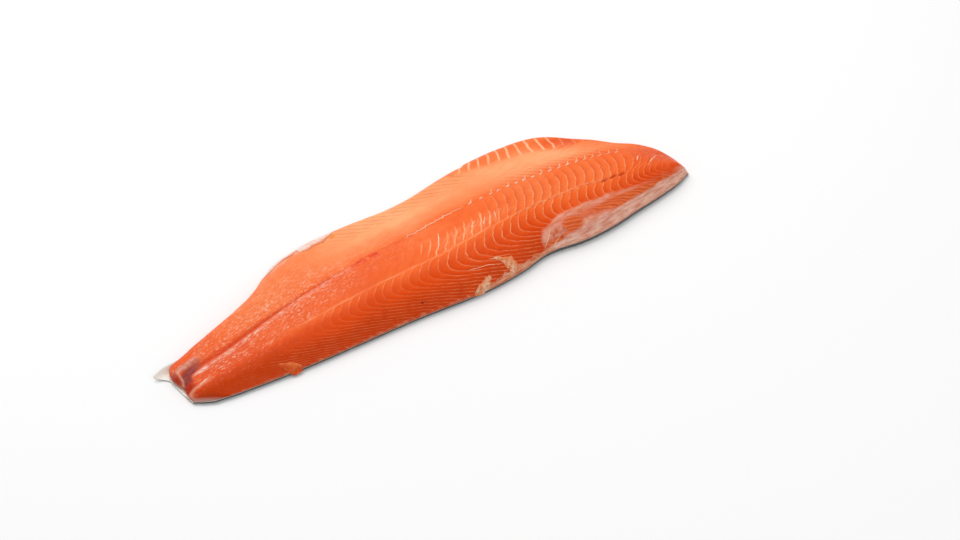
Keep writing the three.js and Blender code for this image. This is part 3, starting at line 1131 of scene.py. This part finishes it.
def fat_layers(s, base, waves, settings):
    """The film of fat over the nape and what shows through it, then the rims and specks."""
    veil = s.noise(5, 4, 0.65, s.place(3.5, 4), (0.3, 0.7))
    film = s.mix(veil, settings.fat, MARKS["fat_pale"])
    film = s.mix(s.noise(11, 3, contrast=(0.5, 0.78)), film, MARKS["fat_warm"])
    beige = s.noise(2.2, 4, 0.65, s.place(9.0, 8), (0.32, 0.68))
    film = s.mix(s.field("strip"), film, s.mix(beige, MARKS["beige"], MARKS["beige_pale"]))
    island = s.scaled(s.math("ADD", s.field("island"), s.swing(veil, 0.5)), 0.25, 0.75)
    rim = s.mix(s.noise(3, 3, 0.6, s.place(3.0), (0.35, 0.6)), MARKS["rim"], settings.rim)
    return s.layered(base, [
        ("fat", s.scaled(veil, 0, 1, 0.72, 0.97), film),
        (island, 0.75, MARKS["island"]),
        (island, s.scaled(waves, 0.15, 0.6, 0.6, 0.0), MARKS["island_band"]),
        ("vessel", 0.4, MARKS["vessel"]),
        ("dot", 0.9, MARKS["dot"]),
        ("spot", 1.0, MARKS["spot"]),
        ("rim", 0.85, rim),
        ("tail_rim", 0.9, MARKS["tail_rim"]),
    ])


def flesh_material(settings):
    """Raw orange flesh: septa, flakes with painted shade, fat, blood, and a wet gloss with painted glints
    and sheen near the tail.
    """
    material, s, shader = new_material("flesh_raw")
    tone = s.math("ADD", s.field("tone"), s.swing(s.noise(30, 3), 0.12))
    tone = s.math("ADD", tone, s.swing(s.noise(7, 3, 0.6, s.place(1.8, 20)), 0.2))
    base = s.ramp(tone, [
        (0.0, settings.back_low), (0.25, settings.back_mid), (0.5, settings.bright),
        (0.75, settings.belly), (1.0, settings.pale_band)])
    fibres = s.noise(1.5, 3, 0.6, s.place(6.0, 4))
    base = s.mix(s.scaled(fibres, 0.4, 0.8, 0.0, 0.16), base, settings.deep_and_shade)
    waves = s.add("ShaderNodeTexWave", {
        "Vector": s.place(2.2, -12), "Scale": 0.1, "Distortion": 6.0, "Detail": 3.0, "Detail Scale": 1.6,
    }, bands_direction="Y").outputs["Fac"]
    base = septum_layers(s, base, settings)
    base = tail_layers(s, base, settings)
    base = fat_layers(s, base, waves, settings)

    rough_skin = s.math("MULTIPLY", s.noise(1.3, 3, 0.6), s.math("MULTIPLY_ADD", s.field("wet"), 0.9, 0.10))
    bump = s.math("ADD", rough_skin, s.math("MULTIPLY", fibres, 0.12))
    bump = s.math("ADD", bump, s.math("MULTIPLY", s.noise(5, 3), 0.4))
    bump = s.math("ADD", bump, s.math("MULTIPLY", waves, s.math("MULTIPLY", s.field("island"), 0.5)))
    s.feed(shader, {
        "Base Color": base,
        "Roughness": s.scaled(s.noise(6, 3), 0.3, 0.7, 0.34, 0.5),
        "Normal": s.bump(bump, 0.6, 0.9),
        "Subsurface Weight": 0.25,
        "Subsurface Radius": (1.0, 0.32, 0.12),
        "Subsurface Scale": 2.5 * MM,
        "Specular IOR Level": 0.12,
        "Specular Tint": (1.0, 0.45, 0.12),
        "Coat Weight": 0.02,
        "Coat Roughness": 0.16,
    })
    return material


def scale_pattern(s, place, scale_length, scale_width):
    """Height from 0 to 1 over rows of overlapping scales; their free edges point tailward."""
    parts = s.add("ShaderNodeSeparateXYZ", {0: place})
    across = s.math("DIVIDE", parts.outputs["Y"], scale_width)
    row = s.math("FLOOR", across)
    offset = s.math("MULTIPLY", s.math("MODULO", row, 2.0), 0.5)
    middle = s.math("SUBTRACT", s.math("FRACT", across), 0.5)
    round_edge = s.math("MULTIPLY", s.math("MULTIPLY", middle, middle), 1.5)
    along = s.math("DIVIDE", parts.outputs["X"], scale_length)
    share = s.math("FRACT", s.math("SUBTRACT", s.math("ADD", along, offset), round_edge))
    return s.math("POWER", s.math("SUBTRACT", 1.0, share), 1.5)


def skin_material(settings):
    """Scaled skin: dark and spotted at the back, silver on the side, white at the belly."""
    material, s, shader = new_material("skin_scaled")
    across = s.math("ADD", s.field("across"), s.swing(s.noise(22, 3), 0.10))
    sides = s.ramp(across, [
        (0.0, settings.back), (0.22, settings.back), (0.42, settings.side),
        (0.75, settings.side), (1.0, settings.belly)])
    source = s.add("ShaderNodeTexCoord").outputs["Object"]
    scales = scale_pattern(s, source, settings.scale_length, settings.scale_width)
    glint = s.math("MULTIPLY", s.scaled(scales, 0.05, 0.9, 0.0, 0.35), s.scaled(across, 0.05, 0.35))
    gaps = s.math("MULTIPLY", s.scaled(scales, 0.0, 0.12, 0.5, 0.0), s.scaled(across, 0.6, 0.95, 1.0, 0.15))
    cells = s.add("ShaderNodeTexVoronoi", {"Vector": s.place(), "Scale": 1 / 21, "Randomness": 1.0})
    spots = s.scaled(cells.outputs["Distance"], 0.1, 0.15, 1.0, 0.0)
    spots = s.math("MULTIPLY", spots, s.scaled(across, 0.38, 0.5, 1.0, 0.0))
    base = s.mix(glint, sides, MARKS["scale_glint"])
    base = s.mix(gaps, base, settings.back)
    base = s.mix(spots, base, settings.spot)
    inner = s.mix(s.noise(6, 3, contrast=(0.3, 0.7)), settings.inner, MARKS["inner_pale"])
    bump = s.math("ADD", s.math("MULTIPLY", scales, 0.6), s.math("MULTIPLY", s.noise(1.2, 2), 0.25))
    s.feed(shader, {
        "Base Color": s.mix(s.scaled(s.field("outside"), 0.02, 0.08), inner, base),
        "Normal": s.bump(bump, 0.5, 0.3),
        "Roughness": s.scaled(s.noise(9, 2), 0.3, 0.7, 0.25, 0.42),
        "Coat Weight": 0.4,
        "Coat Roughness": 0.15,
    })
    return material


def membrane_material(name, value, other):
    """A thin wet membrane or scrap, mottled in two colours and red where it meets the flesh."""
    material, s, shader = new_material(name)
    base = s.mix(s.noise(4, 3, 0.6, contrast=(0.35, 0.65)), value, other)
    meeting = s.math("ADD", s.field("inner"), s.swing(s.noise(3, 3), 0.6))
    s.feed(shader, {
        "Base Color": s.mix(s.scaled(meeting, 0.2, 0.9, 0.0, 0.85), base, MEMBRANE_ROOT),
        "Normal": s.bump(s.noise(1.2, 3), 0.5, 0.5),
        "Roughness": s.scaled(s.noise(3, 2), 0.3, 0.7, 0.2, 0.4),
        "Subsurface Weight": 0.3,
        "Subsurface Radius": (1.0, 0.45, 0.3),
        "Subsurface Scale": 2 * MM,
        "Specular IOR Level": 0.2,
        "Specular Tint": (1.0, 0.66, 0.42),
        "Coat Weight": 0.12,
        "Coat Roughness": 0.12,
    })
    return material


# ---- Geometry node trees -------------------------------------------------------------------------

def new_tree(name, *sizes):
    """A geometry node tree with a mesh, named sizes and a material in, and a mesh out. Gives its
    sketch and what comes in."""
    tree = bpy.data.node_groups.new(name, "GeometryNodeTree")
    kinds = {"Geometry": "Geometry", **{size: "Float" for size in sizes}, "Material": "Material"}
    for label, kind in kinds.items():
        tree.interface.new_socket(label, in_out="INPUT", socket_type="NodeSocket" + kind)
    tree.interface.new_socket("Geometry", in_out="OUTPUT", socket_type="NodeSocketGeometry")
    sketch = Sketch(tree)
    return sketch, sketch.add("NodeGroupInput").outputs


def end_tree(s, into, geometry):
    """Ends a tree: what it made becomes real meshes, in the tree's material."""
    real = s.add("GeometryNodeRealizeInstances", {"Geometry": geometry})
    finish = s.add("GeometryNodeSetMaterial", {"Geometry": real.outputs[0], "Material": into["Material"]})
    s.add("NodeGroupOutput", {"Geometry": finish.outputs[0]})
    return s.tree


def apply_tree(item, tree, values):
    """Runs a geometry node tree on an object and keeps the result as its plain mesh."""
    modifier = item.modifiers.new(tree.name, "NODES")
    modifier.node_group = tree
    for socket in tree.interface.items_tree:
        if socket.in_out == "INPUT" and socket.name in values:
            modifier[socket.identifier] = values[socket.name]
    bpy.context.view_layer.update()
    graph = bpy.context.evaluated_depsgraph_get()
    made = item.evaluated_get(graph)
    mesh = bpy.data.meshes.new_from_object(made, preserve_all_data_layers=True, depsgraph=graph)
    if not mesh.polygons:
        raise RuntimeError(item.name + " has no faces")
    old, item.data = item.data, mesh
    item.modifiers.remove(modifier)
    bpy.data.meshes.remove(old)
    mesh.name = item.name
    mesh.shade_smooth()


def thread_tree():
    """Turns edges into soft threads of uneven thickness, closed at their ends."""
    s, into = new_tree("soft_threads", "Radius", "Unevenness", "Spacing")
    curves = s.add("GeometryNodeMeshToCurve", {"Mesh": into["Geometry"]})
    resampled = s.add("GeometryNodeResampleCurve", {
        "Curve": curves.outputs[0], "Length": into["Spacing"]}, mode="LENGTH")
    where = s.add("GeometryNodeSplineParameter").outputs["Factor"]
    # The ends taper along a half wave, which starts and stops just short of nothing.
    wave = s.math("SINE", s.math("MULTIPLY", s.math("MULTIPLY_ADD", where, 0.94, 0.03), math.pi))
    ends = s.math("POWER", wave, 0.6)
    position = s.add("GeometryNodeInputPosition").outputs[0]
    noise = s.add("ShaderNodeTexNoise", {"Vector": position, "Scale": 260.0, "Detail": 1.0}).outputs[0]
    uneven = s.math("MULTIPLY_ADD", s.math("SUBTRACT", noise, 0.5), into["Unevenness"], 1.0)
    size = s.add("GeometryNodeInputNamedAttribute", {"Name": "size"}, data_type="FLOAT").outputs[0]
    radius = s.math("MULTIPLY", s.math("MULTIPLY", ends, uneven), s.math("MULTIPLY", size, into["Radius"]))
    profile = s.add("GeometryNodeCurvePrimitiveCircle", {"Resolution": 7, "Radius": 1.0})
    tube = s.add("GeometryNodeCurveToMesh", {
        "Curve": resampled.outputs[0], "Profile Curve": profile.outputs["Curve"],
        "Scale": radius, "Fill Caps": True})
    return end_tree(s, into, tube.outputs[0])


def scale_relief_tree():
    """Raises the free edges of the scales on the outer face of the skin."""
    s, into = new_tree("scale_relief", "Scale length", "Scale width", "Relief")
    position = s.add("GeometryNodeInputPosition").outputs[0]
    height = scale_pattern(s, position, into["Scale length"], into["Scale width"])
    outside = s.add("GeometryNodeInputNamedAttribute", {"Name": "outside"}, data_type="FLOAT").outputs[0]
    lift = s.math("MULTIPLY", s.math("MULTIPLY", height, outside), into["Relief"])
    offset = s.add("ShaderNodeCombineXYZ", {2: lift}).outputs[0]
    moved = s.add("GeometryNodeSetPosition", {"Geometry": into["Geometry"], "Offset": offset})
    return end_tree(s, into, moved.outputs[0])


def pore_tree():
    """Lays small raised beads along a line, for the pored scales of the lateral line."""
    s, into = new_tree("line_of_scales", "Spacing", "Length")
    curve = s.add("GeometryNodeMeshToCurve", {"Mesh": into["Geometry"]})
    points = s.add("GeometryNodeCurveToPoints", {
        "Curve": curve.outputs[0], "Length": into["Spacing"]}, mode="LENGTH")
    bead = s.add("GeometryNodeMeshUVSphere", {"Segments": 8, "Rings": 5, "Radius": 0.5})
    across = s.math("MULTIPLY", into["Length"], 0.5)
    thin = s.math("MULTIPLY", into["Length"], 0.16)
    size = s.add("ShaderNodeCombineXYZ", {0: into["Length"], 1: across, 2: thin}).outputs[0]
    beads = s.add("GeometryNodeInstanceOnPoints", {
        "Points": points.outputs["Points"], "Instance": bead.outputs["Mesh"], "Scale": size})
    return end_tree(s, into, beads.outputs[0])


# ---- Operators: one for each piece ---------------------------------------------------------------

def finish_piece(item):
    """Rides on the fillet's body, in place of its plain solid."""
    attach(item, BODY)
    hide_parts(NODE)


class FILLET_OT_flesh(bpy.types.Operator):
    """Make the flesh"""

    bl_idname = "fillet.flesh"
    bl_label = "Flesh"

    def execute(self, context):
        settings = context.scene.fillet_flesh
        item = flesh_mesh(settings, context.scene.fillet_skin)
        item.data.materials.append(flesh_material(settings))
        finish_piece(item)
        return {"FINISHED"}


class FILLET_OT_skin(bpy.types.Operator):
    """Make the skin under the flesh"""

    bl_idname = "fillet.skin"
    bl_label = "Skin"

    def execute(self, context):
        settings = context.scene.fillet_skin
        item = skin_mesh(settings)
        apply_tree(item, scale_relief_tree(), {
            "Scale length": settings.scale_length, "Scale width": settings.scale_width,
            "Relief": settings.scale_relief, "Material": skin_material(settings)})
        finish_piece(item)
        return {"FINISHED"}


class FILLET_OT_threads(bpy.types.Operator):
    """Make the white ends of the septa along the spine line, and the fine threads elsewhere"""

    bl_idname = "fillet.threads"
    bl_label = "Threads"

    def execute(self, context):
        settings = context.scene.fillet_trim
        item = thread_mesh("threads", spine_strokes(flesh_drape()))
        apply_tree(item, thread_tree(), {
            "Radius": settings.thread, "Unevenness": 1.4, "Spacing": 0.7 * MM,
            "Material": membrane_material("septum_white", settings.fleck, MARKS["thread"])})
        finish_piece(item)
        return {"FINISHED"}


class FILLET_OT_back_scraps(bpy.types.Operator):
    """Make the scraps left on the back where the fins were trimmed off"""

    bl_idname = "fillet.back_scraps"
    bl_label = "Back scraps"

    def execute(self, context):
        settings = context.scene.fillet_trim
        drape = flesh_drape()
        materials = [
            membrane_material("scrap_orange", settings.scrap, MARKS["scrap"]),
            membrane_material("scrap_pale", MARKS["scrap_pale"], MARKS["scrap_palest"])]
        for number, (path, widths, lift, pale) in enumerate(BACK_SCRAPS):
            item = strip_mesh("back_scrap_%d" % (number + 1), path, widths, lift, drape, -1, 20 + number)
            item.data.materials.append(materials[pale])
            finish_piece(item)
        return {"FINISHED"}


class FILLET_OT_membranes(bpy.types.Operator):
    """Make the membranes left on the belly edge where the fins were trimmed off"""

    bl_idname = "fillet.membranes"
    bl_label = "Belly membranes"

    def execute(self, context):
        settings = context.scene.fillet_trim
        drape = flesh_drape()
        material = membrane_material("membrane_pink", settings.membrane, MARKS["membrane_pale"])
        for number, (path, widths, lift) in enumerate(BELLY_MEMBRANES):
            item = strip_mesh("belly_membrane_%d" % (number + 1), path, widths, lift, drape, 1, 40 + number)
            item.data.materials.append(material)
            finish_piece(item)
        return {"FINISHED"}


class FILLET_OT_lateral_line(bpy.types.Operator):
    """Make the lateral line on the skin's side"""

    bl_idname = "fillet.lateral_line"
    bl_label = "Lateral line"

    def execute(self, context):
        settings = context.scene.fillet_skin
        places = np.arange(-LATERAL_END, LATERAL_END, LATERAL_SPACING)
        line = [(x, float(seam_line(x)) + LATERAL_OFFSET, LATERAL_LEVEL) for x in places]
        item = thread_mesh("lateral_line", [(line, 1.0)])
        apply_tree(item, pore_tree(), {
            "Spacing": settings.scale_length * 1.05, "Length": settings.scale_length * 0.8,
            "Material": membrane_material("line_scale", MARKS["pore"], MARKS["pore_pale"])})
        finish_piece(item)
        return {"FINISHED"}


def placed(name, data, place, facing):
    """A light or camera at a place, which faces a direction."""
    item = add_object(name, data)
    item.location = place
    item.rotation_mode = "QUATERNION"
    item.rotation_quaternion = facing.to_track_quat("-Z", "Y")
    return item


class FILLET_OT_stage(bpy.types.Operator):
    """Make the floor, the lights and the camera"""

    bl_idname = "fillet.stage"
    bl_label = "Stage"

    def execute(self, context):
        settings = context.scene.fillet_stage
        corners = [(-1, -1), (1, -1), (1, 1), (-1, 1)]
        corners = [(x * FLOOR_HALF, y * FLOOR_HALF, FLOOR_LEVEL) for x, y in corners]
        floor = new_object("floor", corners, [(0, 1, 2, 3)])
        material, s, shader = new_material("floor_white")
        s.feed(shader, {"Base Color": tuple(settings.floor), "Roughness": 0.9, "Specular IOR Level": 0.1})
        floor.data.materials.append(material)
        floor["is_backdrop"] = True

        world = bpy.data.worlds.new("studio")
        world.use_nodes = True
        background = world.node_tree.nodes["Background"]
        background.inputs["Color"].default_value = (1.0, 1.0, 1.0, 1)
        background.inputs["Strength"].default_value = SKY_STRENGTH
        context.scene.world = world
        for name, place, power in PANELS:
            light = bpy.data.lights.new(name, "AREA")
            light.shape, light.size, light.energy = "SQUARE", PANEL_SIZE, power
            placed(name, light, place, -Vector(place))

        camera = bpy.data.cameras.new("camera")
        camera.lens = settings.lens
        azimuth, elevation = settings.azimuth, settings.elevation
        towards = Vector((
            math.sin(azimuth) * math.cos(elevation), -math.cos(azimuth) * math.cos(elevation),
            math.sin(elevation)))
        place = Vector(settings.target) + towards * settings.distance
        context.scene.camera = placed("camera", camera, place, -towards)
        context.scene.view_settings.view_transform = "Standard"
        return {"FINISHED"}


class FILLET_PT_sidebar(bpy.types.Panel):
    """Buttons and settings of the fillet"""

    bl_label = "Salmon fillet"
    bl_idname = "FILLET_PT_sidebar"
    bl_space_type = "VIEW_3D"
    bl_region_type = "UI"
    bl_category = "Fillet"

    def draw(self, context):
        for step_class in STEPS:
            self.layout.operator(step_class.bl_idname)
        for name, group in GROUPS.items():
            box = self.layout.box()
            for field in group.__annotations__:
                box.prop(getattr(context.scene, name), field)


GROUPS = {
    "fillet_flesh": FilletFleshSettings,
    "fillet_skin": FilletSkinSettings,
    "fillet_trim": FilletTrimSettings,
    "fillet_stage": FilletStageSettings,
}
STEPS = (
    FILLET_OT_stage, FILLET_OT_flesh, FILLET_OT_skin, FILLET_OT_threads, FILLET_OT_back_scraps,
    FILLET_OT_membranes, FILLET_OT_lateral_line,
)


def register():
    for item in (*GROUPS.values(), *STEPS, FILLET_PT_sidebar):
        bpy.utils.register_class(item)
    for name, group in GROUPS.items():
        setattr(bpy.types.Scene, name, bpy.props.PointerProperty(type=group))


def unregister():
    for name in GROUPS:
        delattr(bpy.types.Scene, name)
    for item in reversed((*GROUPS.values(), *STEPS, FILLET_PT_sidebar)):
        bpy.utils.unregister_class(item)


def main():
    register()
    for step_class in STEPS:
        group, action = step_class.bl_idname.split(".")
        getattr(getattr(bpy.ops, group), action)()
    {"cad": CAD_BOX, "visual": [list(corner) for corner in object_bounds()]}


if __name__ == "__main__":
    main()
